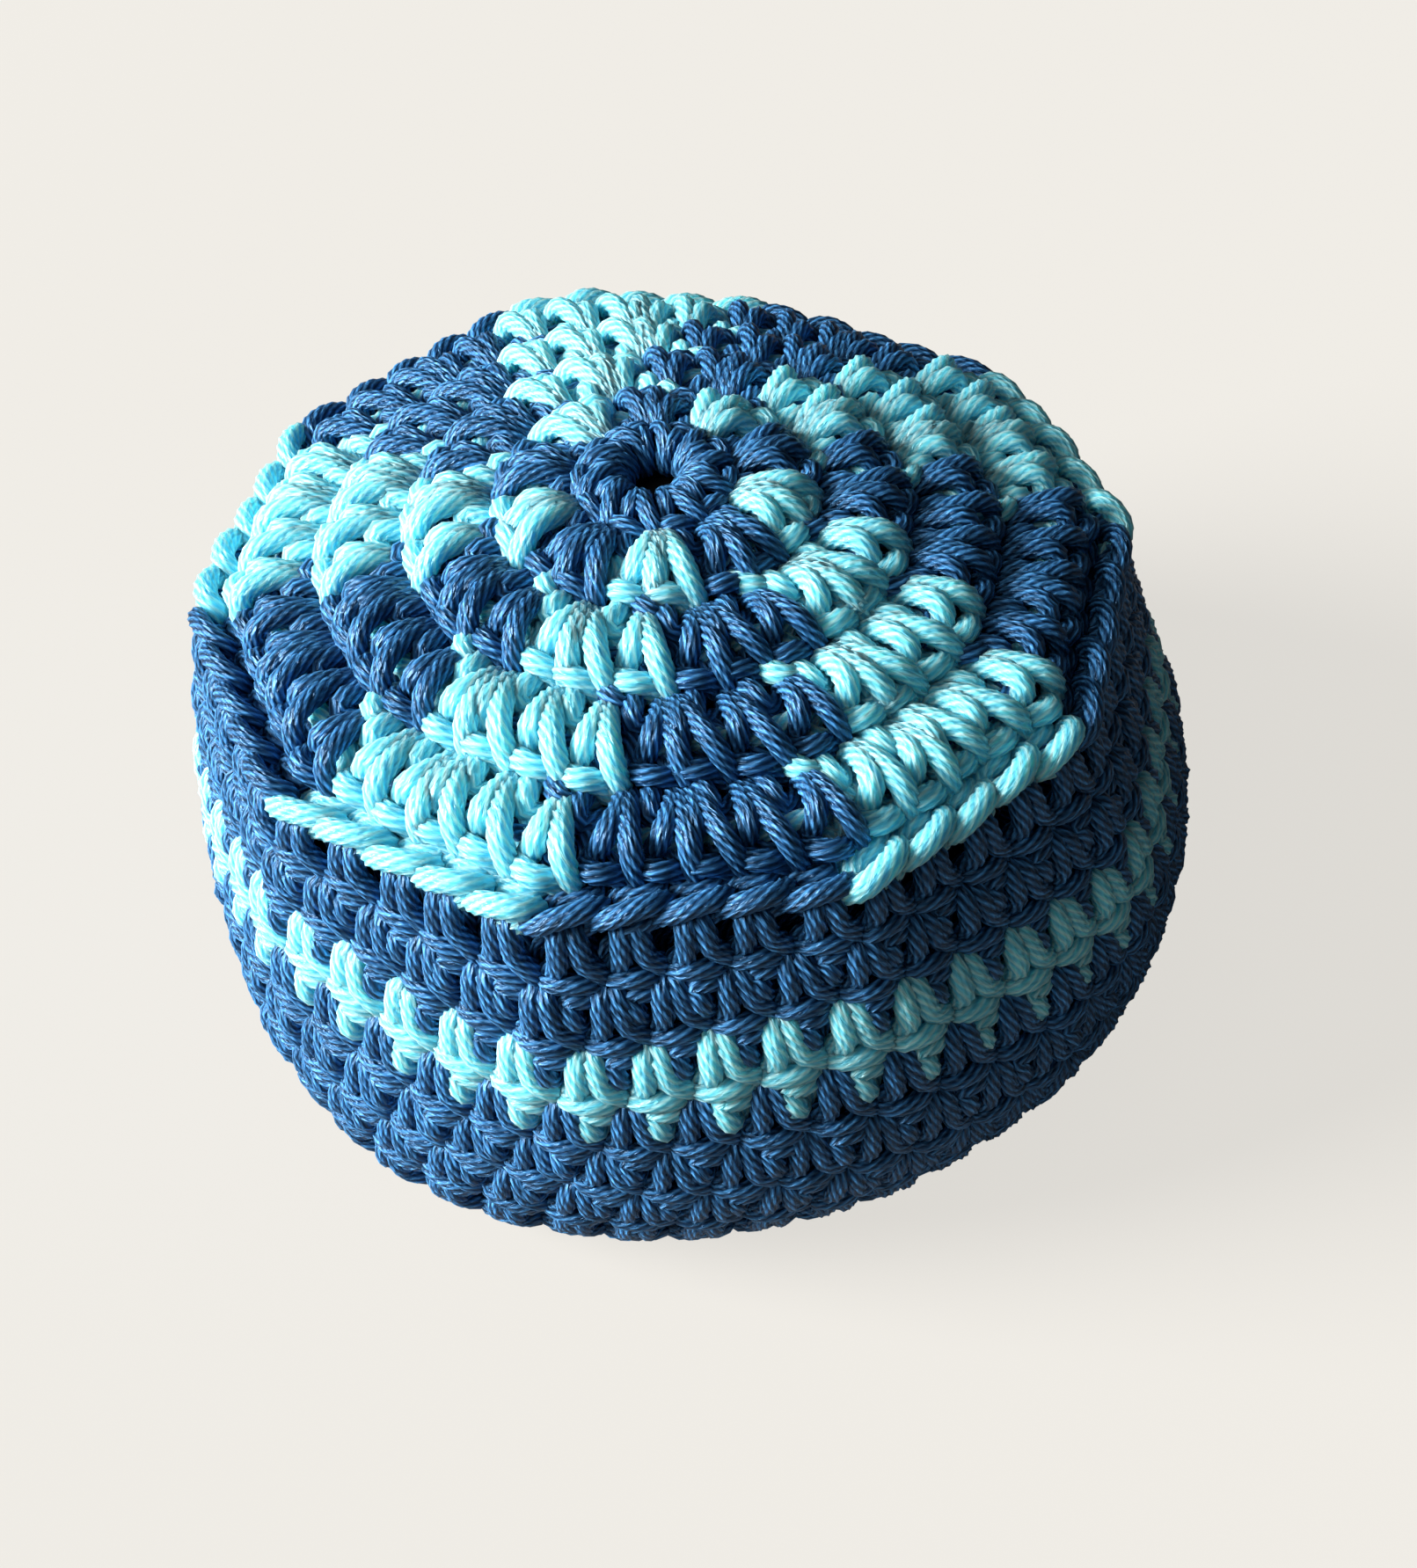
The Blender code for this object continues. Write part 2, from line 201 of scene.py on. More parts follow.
class FootbagShape(bpy.types.PropertyGroup):
    """Sizes of the settled bag, which the solids share."""

    rim_radius: length("Rim radius", "From the axis to the corners of the rim", 27.0 * MM)
    rim_height: length("Rim height", "How high the rim stands over the ground", 32.0 * MM)
    rim_flatness: amount(
        "Rim flatness", "How straight the ten sides are", 0.9, min=0.0, max=1.0, subtype="FACTOR"
    )
    rim_shift: offset(
        "Rim shift", "How far the rim's axis is off the middle", (-1.7 * MM, -1.0 * MM)
    )
    crown_rise: length("Crown rise", "How far the crown's middle is above the rim", 6.8 * MM)
    swirl: bearing("Swirl", "How far a wedge turns while its radius shrinks 2.72 times", 22.0)
    belly_radius: length("Belly radius", "Radius of the widest round", 30.9 * MM)
    belly_height: length("Belly height", "How high the widest round is", 12.4 * MM)
    seat_radius: length("Seat radius", "Radius of the flattened underside", 17.0 * MM)
    seat_shift: offset(
        "Seat shift", "How far the underside's middle is off the middle", (-3.0 * MM, -1.5 * MM)
    )
    cover: length("Cover thickness", "How thick the crochet is", 2.4 * MM)
    lip_height: length("Lip height", "How far the rim's braid reaches down the side", 1.3 * MM)
    round_height: length("Round height", "Height of one round on the side", 4.0 * MM)
    wave: length("Wave", "How far the rounds of the side rise and fall", 1.0 * MM)
    wave_phase: bearing("Wave phase", "Where the first low point of the side's wave is", -36.0)
    pocket_radius: length("Pocket radius", "Of the hollow that the tied neck lies in", 7.0 * MM)
    pocket_height: length("Pocket height", "Of the hollow that the tied neck lies in", 6.0 * MM)
    neck_radius: length("Neck radius", "Of the pouch where it is tied", 1.9 * MM)
    hem_radius: length("Hem radius", "Of the pouch's flared end", 3.4 * MM)
    pellet_diameter: length("Pellet diameter", "Width of one pellet", 4.2 * MM)
    pellet_height: length("Pellet height", "Thickness of one pellet", 3.4 * MM)


class FootbagYarn(bpy.types.PropertyGroup):
    """The yarn and how evenly it is worked."""

    strand: length("Strand", "Thickness of the cotton yarn", 1.28 * MM)
    lay: length("Lay", "Length of yarn in which a ply goes round once", 6.2 * MM)
    step: length("Step", "Length of yarn between two rings of its mesh", 0.46 * MM)
    plies: amount("Plies", "How many plies are twisted together", 8, IntProperty, min=3, max=12)
    ply_depth: amount(
        "Ply depth", "How deep its grooves are, in radii", 0.16, min=0.0, max=0.5, subtype="FACTOR"
    )
    unevenness: amount(
        "Unevenness", "How much stitches differ: 1 is usual for hand work", 1.0, min=0.0, max=3.0
    )
    seed: amount("Seed", "Which uneven work is drawn", 7, IntProperty, min=0)


class FootbagColours(bpy.types.PropertyGroup):
    """Colours of the yarns, the pouch, the pellets and the ground."""

    navy: colour("Navy", "The dark yarn on the flanks of its plies", "#1B4A78")
    # The crest colours are a painted highlight along each ply, and the groove colours are painted
    # shade between plies.
    navy_crest_painted_highlight: colour("Navy crest", "The dark yarn along the crest of its plies", "#4585BE")
    navy_groove_painted_shade: colour("Navy groove", "The dark yarn between its plies", "#0A1B33")
    light: colour("Light blue", "The light yarn on the flanks of its plies", "#7AE2FF")
    # As for the navy: the crest is a painted highlight, and the groove is painted shade.
    light_crest_painted_highlight: colour("Light blue crest", "The light yarn on its plies' crests", "#A8F3FF")
    light_groove_painted_shade: colour("Light blue groove", "The light yarn between its plies", "#60D6F9")
    # The pouch is near-black, a dark backing that makes the cover's holes look dark: painted shade
    # in them.
    pouch: colour("Pouch", "The knit of the pouch", "#1C191B")
    tie: colour("Tie", "The cord round the pouch's neck", "#D8D4C8")
    pellet: colour("Pellet", "The pellets", "#E4E5E2")
    floor: colour("Floor", "The ground that the bag stands on", "#EFECE6")


class FootbagStage(bpy.types.PropertyGroup):
    """The camera and the lights."""

    lens: amount(
        "Lens", "Focal length over a 36 mm frame", 53.35, min=1.0, subtype="DISTANCE_CAMERA"
    )
    distance: length("Distance", "From the camera to what it looks at", 148.5 * MM)
    azimuth: bearing("Azimuth", "How far the camera stands round from the front", -0.943)
    elevation: bearing("Elevation", "How steeply the camera looks down", 46.877)
    roll: bearing("Roll", "How far the camera is turned about its view", 4.236)
    target: offset("Target", "What the camera looks at", (0.03 * MM, -1.0 * MM, 12.96 * MM))
    key: amount("Side light", "Power of the lamp on the left", 31.0, min=0.0, unit="POWER")
    top: amount("Top light", "Power of the lamp above, on the left", 1.4, min=0.0, unit="POWER")
    sky: amount("Fill", "Strength of the even light from all round", 0.035, min=0.0)


def cubic(share, values):
    """A smooth curve through the first and last of four values."""
    rest = 1.0 - share
    return (
        values[0] * rest**3
        + 3.0 * values[1] * rest**2 * share
        + 3.0 * values[2] * rest * share**2
        + values[3] * share**3
    )


def eased(share):
    """A share from 0 to 1 that starts and ends softly."""
    return share * share * (3.0 - 2.0 * share)


def outline(bag, place, depth):
    """Radius and height of the body at a place from 0 to 4, at a depth inside its skin."""
    section = min(int(place), SEAT)
    share = place - section
    rim_radius = bag.rim_radius - depth
    rim_height = bag.rim_height - depth
    belly_radius = bag.belly_radius - depth
    if section == CROWN:
        return rim_radius * share, rim_height + bag.crown_rise * cubic(share, CROWN_RISE_SHARES)
    if section == SIDE:
        swell = (belly_radius - rim_radius) * cubic(share, SIDE_SWELL_SHARES)
        return rim_radius + swell, rim_height + (bag.belly_height - rim_height) * share
    if section == UNDER:
        turn = share * math.pi / 2
        radius = bag.seat_radius + (belly_radius - bag.seat_radius) * math.cos(turn)
        return radius, bag.belly_height - (bag.belly_height - depth) * math.sin(turn)
    return bag.seat_radius * (1.0 - share), depth


def flatness(bag, place):
    """How ten-sided the body is: round at the crown's middle and from the belly down."""
    if place < SIDE:
        return bag.rim_flatness * place**2
    return bag.rim_flatness * max(0.0, UNDER - place)


def axis(bag, place):
    """Where the axis of the settled body is at a place."""
    if place < SIDE:
        return bag.rim_shift[0], bag.rim_shift[1]
    if place < UNDER:
        rest = eased(UNDER - place)
        return bag.rim_shift[0] * rest, bag.rim_shift[1] * rest
    down = eased(min(1.0, place - UNDER))
    return bag.seat_shift[0] * down, bag.seat_shift[1] * down


def turned(bag, angle, radius, height, place):
    """A point at a radius and height, on the settled body's axis and its ten sides."""
    half_wedge = math.pi / WEDGES
    off_middle = angle % (2.0 * half_wedge) - half_wedge
    flat_side = math.cos(half_wedge) / math.cos(off_middle)
    radius *= 1.0 - flatness(bag, place) * (1.0 - flat_side)
    axis_x, axis_y = axis(bag, place)
    return Vector((radius * math.cos(angle) + axis_x, radius * math.sin(angle) + axis_y, height))


def swelling(angle, place):
    """How far the settled bag stands proud of its rule at an angle and a place."""
    total = 0.0
    for middle, spread, height, reach, out in SWELLINGS:
        off = (math.degrees(angle) - middle + 180.0) % 360.0 - 180.0
        aside = -0.5 * (off / spread) ** 2
        total += out * math.exp(aside - 0.5 * ((place - height) / reach) ** 2)
    return total


def on_body(bag, angle, place, depth):
    """A point of the body, with the wave that the light edges press into the side."""
    depth -= swelling(angle, place)
    if SIDE < place < UNDER:
        side_length = bag.rim_height - bag.belly_height
        wave = bag.wave * math.cos(WEDGES / 2 * (angle - bag.wave_phase)) / side_length
        place += wave * math.sin(math.pi * (place - SIDE))
    radius, height = outline(bag, place, depth)
    return turned(bag, angle, radius, height, place)


def wall_place(bag, rounds):
    """The place that a number of the wall's rounds reaches, counted from the lip."""
    side_length = bag.rim_height - bag.belly_height
    to_belly = (side_length - bag.lip_height) / bag.round_height
    last = len(WALL_COUNTS)
    if rounds <= to_belly:
        return SIDE + (bag.lip_height + rounds * bag.round_height) / side_length
    if rounds <= last:
        return UNDER + (rounds - to_belly) / (last - to_belly)
    return SEAT + (rounds - last) * SEAT_ROUND


def crown_place(bag, rounds):
    """The place that a number of the crown's rounds reaches, and how it goes on past the rim."""
    if rounds <= CROWN_ROUNDS:
        return rounds / CROWN_ROUNDS
    past = (rounds - CROWN_ROUNDS) * bag.rim_radius / CROWN_ROUNDS
    return SIDE + past / (bag.rim_height - bag.belly_height)


class Cell:
    """The patch of the cover that one stitch fills, from the angle of its base to its head's."""

    def __init__(self, bag, place_at, base, head, pitch, luck, bulge, relief):
        uneven = bpy.context.scene.footbag_yarn.unevenness
        self.bag = bag
        self.place_at = place_at
        self.base = base
        self.head = head
        self.pitch = pitch
        self.bulge = bulge
        self.relief = relief
        self.along = luck.gauss(0.0, UNEVEN_ALONG) * uneven
        self.up = luck.gauss(0.0, UNEVEN_UP) * uneven
        self.out = luck.gauss(0.0, UNEVEN_OUT) * uneven

    def point(self, along, up, out):
        """Where a spot of the stitch's drawing lies on the settled bag."""
        lean = min(1.0, max(0.0, up))
        angle = self.base + (self.head - self.base) * lean + (along + self.along) * self.pitch
        place = self.place_at(up + self.up)
        out = out * self.relief + self.bulge * math.cos(math.tau * (up - BULGE_TOP))
        pressed = PRESSED_IN * min(1.0, max(0.0, 2.0 * (place - UNDER) - 0.8))
        depth = CORE_DEPTH - (out + self.out) * MM + pressed
        drawn = Vector((0.0, HOLE_SHIFT * max(0.0, 1.0 - CROWN_ROUNDS * place), 0.0))
        return on_body(self.bag, angle, place, depth) + drawn

    def points(self, path):
        """Where the yarn of a drawn path runs."""
        return [self.point(*spot) for spot in path]


def swirl_at(bag, rounds):
    """How far the wedges have turned at the end of a round of the crown."""
    return bag.swirl * math.log(CROWN_ROUNDS / rounds)


def crown_cells(bag, yarn, number):
    """The stitches of one round of the crown, block by block."""
    luck = random.Random(yarn.seed * 100 + number)
    wedge = math.tau / WEDGES
    pitch = wedge / number
    hole = HOLE_RADIUS / bag.rim_radius

    def place_at(up):
        if number == 1:
            # The feet of the first round keep out of the middle of the hole.
            return max(0.7 * hole, hole + (1.0 / CROWN_ROUNDS - hole) * up)
        return crown_place(bag, number - 1 + up)

    heads = [
        swirl_at(bag, number) + wedge * (block + (stitch + 1.0) / number)
        for block in range(WEDGES)
        for stitch in range(number)
    ]
    if number == 1:
        bases = [head - FIRST_LEAN * pitch for head in heads]
    else:
        below = swirl_at(bag, number - 1)
        link_pitch = wedge / (number - 1)
        links = [round((head - below) / link_pitch - 0.5) + 0.5 for head in heads]
        bases = []
        for index, link in enumerate(links):
            shared = 0.0
            if index and links[index - 1] == link:
                shared = SHARED_LEAN * pitch
            elif index + 1 < len(links) and links[index + 1] == link:
                shared = -SHARED_LEAN * pitch
            bases.append(below + link * link_pitch + shared)
    bulge = FIRST_BULGE if number == 1 else ROUND_BULGE
    cells = [Cell(bag, place_at, *spot, pitch, luck, bulge, 1.0) for spot in zip(bases, heads)]
    return [cells[block * number : (block + 1) * number] for block in range(WEDGES)]


def wall_cells(bag, yarn, number):
    """The stitches of one round of the wall or the seat, counted from the rim."""
    count = (WALL_COUNTS + SEAT_COUNTS)[number - 1]
    luck = random.Random(yarn.seed * 100 + 50 + number)
    pitch = math.tau / count
    relief = 1.0 if number < FLATTER_FROM else FLATTER

    def place_at(up):
        return wall_place(bag, number - 1 + up)

    angles = [0.5 * number * pitch + index * pitch for index in range(count)]
    return [Cell(bag, place_at, angle, angle, pitch, luck, 0.0, relief) for angle in angles]


def carried(cells):
    """The yarn that is not in use, which the stitches are worked over."""
    return [cell.point(along, CARRY_UP, CARRY_OUT) for cell in cells for along in (-0.2, 0.3)]


def worked(cells, legs, head, close_last=True):
    """The path of a yarn through a row of stitches."""
    path = []
    for cell in cells:
        path += cell.points(legs)
        if close_last or cell is not cells[-1]:
            path += cell.points(head)
    return path


def add(tree, kind, inputs=(), **settings):
    """Add a node with its settings, and set or link its inputs, by name or number.

    A socket is linked, and so is a node, by its first output. Other values are set.
    """
    node = tree.nodes.new(kind)
    for name, value in settings.items():
        setattr(node, name, value)
    for name, value in dict(inputs).items():
        if isinstance(value, bpy.types.Node):
            value = value.outputs[0]
        if isinstance(value, bpy.types.NodeSocket):
            tree.links.new(value, node.inputs[name])
        else:
            node.inputs[name].default_value = value
    return node


def new_tree(name, output, inputs):
    """A tree of geometry nodes, what adds nodes to it, and what its named inputs give."""
    tree = bpy.data.node_groups.new(name, "GeometryNodeTree")
    tree.interface.new_socket(output, in_out="OUTPUT", socket_type="NodeSocketGeometry")
    for label, kind in inputs.items():
        tree.interface.new_socket(label, in_out="INPUT", socket_type="NodeSocket" + kind)
    return tree, partial(add, tree), add(tree, "NodeGroupInput").outputs


def finish_tree(node, made, given):
    """End a tree: smooth shading, no instances, and the material that it is given."""
    shaded = node("GeometryNodeSetShadeSmooth", {"Geometry": made})
    real = node("GeometryNodeRealizeInstances", {"Geometry": shaded})
    finished = node("GeometryNodeSetMaterial", {"Geometry": real, "Material": given["Material"]})
    node("NodeGroupOutput", {0: finished})


def yarn_tree():
    """Node tree that twists plied yarn along chains of edges."""
    inputs = {"Paths": "Geometry", "Strand": "Float", "Lay": "Float", "Step": "Float"}
    inputs |= {"Plies": "Int", "Ply Depth": "Float", "Material": "Material"}
    tree, node, given = new_tree("plied_yarn", "Yarn", inputs)
    thickness = node("GeometryNodeInputNamedAttribute", {"Name": "thickness"}, data_type="FLOAT")
    curve = node("GeometryNodeMeshToCurve", {"Mesh": given["Paths"]})
    smooth = node("GeometryNodeCurveSplineType", {"Curve": curve}, spline_type="CATMULL_ROM")
    spacing = {"Curve": smooth, "Length": given["Step"]}
    even = node("GeometryNodeResampleCurve", spacing, mode="LENGTH")
    run = node("GeometryNodeSplineParameter").outputs["Length"]
    turns = node("ShaderNodeMath", {0: run, 1: given["Lay"]}, operation="DIVIDE")
    twist = node("ShaderNodeMath", {0: turns, 1: -math.tau}, operation="MULTIPLY")
    twisted = node("GeometryNodeSetCurveTilt", {"Curve": even, "Tilt": twist})
    spine = node("GeometryNodeCaptureAttribute", {"Geometry": twisted}, domain="POINT")

    radius = node("ShaderNodeMath", {0: given["Strand"], 1: 0.5}, operation="MULTIPLY")
    share = node("ShaderNodeMath", {0: 1.0, 1: given["Ply Depth"]}, operation="SUBTRACT")
    groove = node("ShaderNodeMath", {0: radius, 1: share}, operation="MULTIPLY")
    star = {"Points": given["Plies"], "Inner Radius": groove, "Outer Radius": radius}
    section = node("GeometryNodeCurveStar", star)
    rim = node("GeometryNodeCaptureAttribute", {"Geometry": section}, domain="POINT")
    around = node("GeometryNodeSplineParameter")
    for capture, name, value in (
        (spine, "Run", run),
        (spine, "Thickness", thickness.outputs["Attribute"]),
        (rim, "Round", around.outputs["Factor"]),
        (rim, "Ridge", section.outputs["Outer Points"]),
    ):
        capture.capture_items.new("FLOAT", name)
        tree.links.new(value, capture.inputs[name])

    sweep = {"Curve": spine, "Profile Curve": rim, "Scale": spine.outputs["Thickness"]}
    made = node("GeometryNodeCurveToMesh", {"Fill Caps": True, **sweep})
    turn = node("ShaderNodeMath", {0: rim.outputs["Round"], 1: math.tau}, operation="MULTIPLY")
    cosine = node("ShaderNodeMath", {0: turn}, operation="COSINE")
    sine = node("ShaderNodeMath", {0: turn}, operation="SINE")
    where = node("ShaderNodeCombineXYZ", {"X": cosine, "Y": sine, "Z": spine.outputs["Run"]})
    # What the material reads: where a point is in the yarn, and how near a ply's crest.
    for name, kind, value in (
        ("yarn", "FLOAT_VECTOR", where),
        ("ridge", "FLOAT", rim.outputs["Ridge"]),
    ):
        stored = {"Geometry": made, "Name": name, "Value": value}
        made = node("GeometryNodeStoreNamedAttribute", stored, data_type=kind, domain="POINT")
    finish_tree(node, made, given)
    return tree


def pellet_tree():
    """Node tree that puts a pellet, turned its own way, on every point."""
    inputs = {"Places": "Geometry", "Diameter": "Float", "Height": "Float"}
    inputs |= {"Seed": "Int", "Material": "Material"}
    tree, node, given = new_tree("pellets_on_points", "Pellets", inputs)
    ball = node("GeometryNodeMeshUVSphere", {"Segments": 8, "Rings": 5, "Radius": 0.5})
    across = given["Diameter"]
    size = node("ShaderNodeCombineXYZ", {"X": across, "Y": across, "Z": given["Height"]})
    pellet = node("GeometryNodeTransform", {"Geometry": ball, "Scale": size})
    # A pellet leans up to 20 degrees, and is turned any way.
    lean = {"Min": (-0.35, -0.35, 0.0), "Max": (0.35, 0.35, 6.28), "Seed": given["Seed"]}
    turn = node("FunctionNodeRandomValue", lean, data_type="FLOAT_VECTOR")
    layout = {"Points": given["Places"], "Instance": pellet, "Rotation": turn}
    finish_tree(node, node("GeometryNodeInstanceOnPoints", layout), given)
    return tree


def linked(name, data):
    """Put new data into the scene as an object."""
    piece = bpy.data.objects.new(name, data)
    bpy.context.scene.collection.objects.link(piece)
    return piece


def grown(name, mesh, tree, values):
    """Run a node tree over a mesh, and keep what it makes as a plain mesh object."""
    seed_piece = linked(name, mesh)
    modifier = seed_piece.modifiers.new("nodes", "NODES")
    modifier.node_group = tree
    for item in tree.interface.items_tree:
        if item.item_type == "SOCKET" and item.in_out == "INPUT" and item.name in values:
            modifier[item.identifier] = values[item.name]
    depsgraph = bpy.context.evaluated_depsgraph_get()
    made = bpy.data.meshes.new_from_object(seed_piece.evaluated_get(depsgraph))
    made.name = name
    bpy.data.objects.remove(seed_piece)
    bpy.data.meshes.remove(mesh)
    return linked(name, made)


def yarn_piece(name, paths, material, thickness=1.0, strand=None):
    """A piece made of yarn that follows paths, each a list of points."""
    yarn = bpy.context.scene.footbag_yarn
    mesh = bpy.data.meshes.new(name + "_paths")
    points = [point for path in paths for point in path]
    edges = []
    first = 0
    for path in paths:
        edges += [(index, index + 1) for index in range(first, first + len(path) - 1)]
        first += len(path)
    mesh.from_pydata(points, edges, [])
    sizes = mesh.attributes.new("thickness", "FLOAT", "POINT")
    sizes.data.foreach_set("value", [thickness] * len(points))
    values = {"Strand": strand or yarn.strand, "Lay": yarn.lay, "Step": yarn.step}
    values |= {"Plies": yarn.plies, "Ply Depth": yarn.ply_depth, "Material": material}
    return grown(name, mesh, bpy.data.node_groups.get("plied_yarn") or yarn_tree(), values)


def emptied(owner):
    """Empty the node tree of a material or world, and give what adds nodes to it."""
    owner.use_nodes = True
    owner.node_tree.nodes.clear()
    return partial(add, owner.node_tree)


def opaque(rgb, share=1.0):
    """A share of a linear colour, fully opaque."""
    return (*[share * channel for channel in rgb], 1.0)


def mercerised_cotton(name, tones, glint, grain_and_painted_glints, depth):
    """Mercerised cotton yarn, plied: silky, with light along each ply, part of it a painted
    highlight, and painted shade between.
    """
    if name in bpy.data.materials:
        return bpy.data.materials[name]
    lay = bpy.context.scene.footbag_yarn.lay
    material = bpy.data.materials.new(name)
    node = emptied(material)
    where = node("ShaderNodeAttribute", attribute_name="yarn").outputs["Vector"]
    parts = node("ShaderNodeSeparateXYZ", {0: where}).outputs
    around = node("ShaderNodeMath", {0: parts["Y"], 1: parts["X"]}, operation="ARCTAN2")
    # Cotton fibres are 0.015 mm, too fine to show: the streaks are 0.2 mm wide, 3 mm long.
    lengthwise = node("ShaderNodeMapping", {"Vector": where, "Scale": (3.4, 3.4, 0.3 / MM)})
    fibres = {"Vector": lengthwise, "Scale": 1.0, "Detail": 3.0, "Roughness": 0.6}
    streaks = node("ShaderNodeTexNoise", fibres).outputs["Fac"]
    # Each ply is twisted of finer ones, laid back the other way, so that they run along the
    # yarn, and wander a little. Thirteen go round it: the real ones, about thirty, would not
    # show.
    unlaid = {0: parts["Z"], 1: -math.tau / lay, 2: around}
    back = node("ShaderNodeMath", unlaid, operation="MULTIPLY_ADD")
    wander = node("ShaderNodeMath", {0: streaks, 1: 8.0}, operation="MULTIPLY")
    lines = node("ShaderNodeMath", {0: back, 1: 13.0, 2: wander}, operation="MULTIPLY_ADD")
    fine = node("ShaderNodeMath", {0: lines}, operation="SINE")
    # The finer plies come up and go under every 0.6 mm. This breaks the bump, and the colour
    # follows it: painted glints where they come up, painted shade where they go under.
    broken = node("ShaderNodeMapping", {"Vector": where, "Scale": (2.6, 2.6, 1.6 / MM)})
    flecks = {"Vector": broken, "Scale": 1.0, "Detail": 1.0, "Roughness": 0.5}
    breaks = node("ShaderNodeTexNoise", flecks).outputs["Fac"]
    # The dye takes a little unevenly over lengths of 8 mm.
    body = node("ShaderNodeTexCoord").outputs["Object"]
    dye = {"Vector": body, "Scale": 1.0 / (8.0 * MM), "Detail": 2.0}
    patches = node("ShaderNodeTexNoise", dye).outputs["Fac"]
    # The crest of each ply is painted paler, a painted highlight, and the yarn between plies is
    # painted darker, painted shade.
    ridge = node("ShaderNodeAttribute", attribute_name="ridge").outputs["Fac"]
    ply = node("ShaderNodeValToRGB", {"Fac": ridge})
    ply.color_ramp.elements.new(0.4)
    for element, place, tone in zip(ply.color_ramp.elements, (0.0, 0.4, 0.85), tones):
        element.position = place
        element.color = opaque(tone)
    # How far each pattern, between two of its values, darkens and brightens the yarn. The streaks
    # and dye patches are the yarn's own; the fine lines and the breaks follow the bump, as painted
    # shade and painted glints.
    change = 1.0
    for pattern, low, high, dark, bright in (
        (streaks, 0.3, 0.7, 1.0 - 0.28 * grain_and_painted_glints, 1.0 + 0.18 * grain_and_painted_glints),
        (patches, 0.35, 0.65, 0.9, 1.08),
        (fine, -1.0, 1.0, 1.0 - 0.2 * grain_and_painted_glints, 1.0 + 0.1 * grain_and_painted_glints),
        (breaks, 0.35, 0.65, 1.0 - 0.42 * grain_and_painted_glints, 1.0 + 0.45 * grain_and_painted_glints),
    ):
        span = {"From Min": low, "From Max": high, "To Min": dark, "To Max": bright}
        own = node("ShaderNodeMapRange", {"Value": pattern, **span})
        change = node("ShaderNodeMath", {0: own, 1: change}, operation="MULTIPLY")
    tinted = node("ShaderNodeVectorMath", {0: ply, "Scale": change}, operation="SCALE")
    height = node("ShaderNodeMath", {0: fine, 1: 0.35, 2: breaks}, operation="MULTIPLY_ADD")
    bump = node("ShaderNodeBump", {"Height": height, "Strength": 0.8, "Distance": 0.14 * MM})
    look = {
        "Base Color": tinted,
        "Normal": bump,
        "Roughness": 0.36,
        "Specular IOR Level": 0.9,
        "Specular Tint": opaque(linear(glint)),
        "IOR": 1.53,
        "Subsurface Weight": depth,
        "Subsurface Radius": (0.85, 1.0, 1.0),
        "Subsurface Scale": 1.5 * MM,
    }
    node("ShaderNodeOutputMaterial", {"Surface": node("ShaderNodeBsdfPrincipled", look)})
    return material


def navy_cotton():
    """The dark yarn: strongly streaked, with strong painted glints and shade, and little light
    through it.
    """
    colours = bpy.context.scene.footbag_colours
    tones = (colours.navy_groove_painted_shade, colours.navy, colours.navy_crest_painted_highlight)
    return mercerised_cotton("Mercerised cotton, navy", tones, "#90C2F4", 1.1, 0.25)


def light_cotton():
    """The light yarn: softly streaked, with soft painted glints and shade, and light that comes
    through into its hollows.
    """
    colours = bpy.context.scene.footbag_colours
    tones = (colours.light_groove_painted_shade, colours.light, colours.light_crest_painted_highlight)
    return mercerised_cotton("Mercerised cotton, light blue", tones, "#C0F6FF", 0.42, 0.65)


def cover_yarn(light):
    """Material, slot and fullness of one of the cover's two yarns."""
    if light:
        return light_cotton(), "light_blue_yarn", LIGHT_FULLNESS
    return navy_cotton(), "navy_yarn", 1.0


def tie_cotton():
    """The undyed cord of the tie, painted greyer between its plies: painted shade."""
    tie = bpy.context.scene.footbag_colours.tie
    groove = [0.6 * channel for channel in tie]
    return mercerised_cotton("Cotton cord, natural", (groove, tie, tie), "#FFFFFF", 0.5, 0.4)


def nylon_knit():
    """Nylon tricot, warp knitted: matt black, with fine upright wales."""
    black = bpy.context.scene.footbag_colours.pouch
    material = bpy.data.materials.new("Nylon tricot, black")
    node = emptied(material)
    cloth = node("ShaderNodeUVMap", uv_map="cloth")
    # Wales 0.6 mm apart are 300 round the pouch; real ones, at 0.3 mm, would not show.
    wales = node("ShaderNodeMapping", {"Vector": cloth, "Scale": (300.0, 120.0, 1.0)})
    rows = {"Vector": wales, "Scale": 0.314, "Distortion": 1.5, "Detail Scale": 2.0}
    knit = node("ShaderNodeTexWave", rows).outputs["Fac"]
    # The knit is painted darker on the low side of its bump, between the wales: painted shade.
    tones = {0: knit, 6: opaque(black, 0.35), 7: opaque(black)}
    tone = node("ShaderNodeMix", tones, data_type="RGBA").outputs[2]
    bump = node("ShaderNodeBump", {"Height": knit, "Strength": 0.6, "Distance": 0.1 * MM})
    look = {"Base Color": tone, "Normal": bump, "Roughness": 0.75, "IOR": 1.53}
    node("ShaderNodeOutputMaterial", {"Surface": node("ShaderNodeBsdfPrincipled", look)})
    return material


